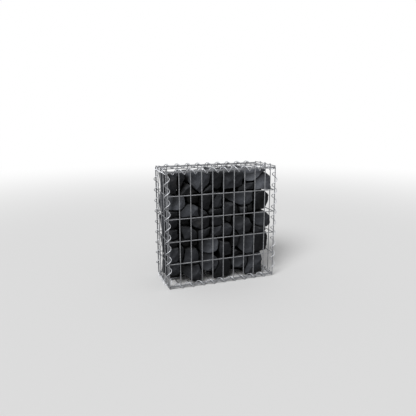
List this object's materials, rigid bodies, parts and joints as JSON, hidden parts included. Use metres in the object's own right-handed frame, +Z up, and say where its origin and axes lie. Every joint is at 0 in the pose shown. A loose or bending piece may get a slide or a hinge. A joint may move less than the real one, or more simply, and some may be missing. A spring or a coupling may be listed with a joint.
{
  "type": "gabion wall",
  "caption": "Free-standing gabion wall: a welded wire mesh basket bound along its edges by helical wire spirals and filled with dark broken stone.",
  "frame": {"origin": "centre of the basket's footprint, on the ground that its lower spirals rest on", "axes": "+X along the wall, +Y to its back, +Z up"},
  "size_m": [0.5282, 0.2262, 0.5311],
  "materials": {
    "galvanised_wire": "dull galvanised",
    "spiral_wire": "dull galvanised",
    "dark_stone": "rough broken"
  },
  "bodies": {
    "root": {"front_panel": "galvanised_wire", "back_panel": "galvanised_wire", "left_end_panel": "galvanised_wire", "right_end_panel": "galvanised_wire", "lid_panel": "galvanised_wire", "floor_panel": "galvanised_wire", "spiral_top_front": "spiral_wire", "spiral_top_back": "spiral_wire", "spiral_top_left": "spiral_wire", "spiral_top_right": "spiral_wire", "spiral_bottom_front": "spiral_wire", "spiral_bottom_back": "spiral_wire", "spiral_bottom_left": "spiral_wire", "spiral_bottom_right": "spiral_wire", "spiral_front_left": "spiral_wire", "spiral_front_right": "spiral_wire", "spiral_back_left": "spiral_wire", "spiral_back_right": "spiral_wire", "front_stones_1": "dark_stone", "back_stones_1": "dark_stone", "front_stones_2": "dark_stone", "back_stones_2": "dark_stone", "front_stones_3": "dark_stone", "back_stones_3": "dark_stone", "front_stones_4": "dark_stone", "back_stones_4": "dark_stone", "front_stones_5": "dark_stone", "back_stones_5": "dark_stone"}
  },
  "joints": []
}
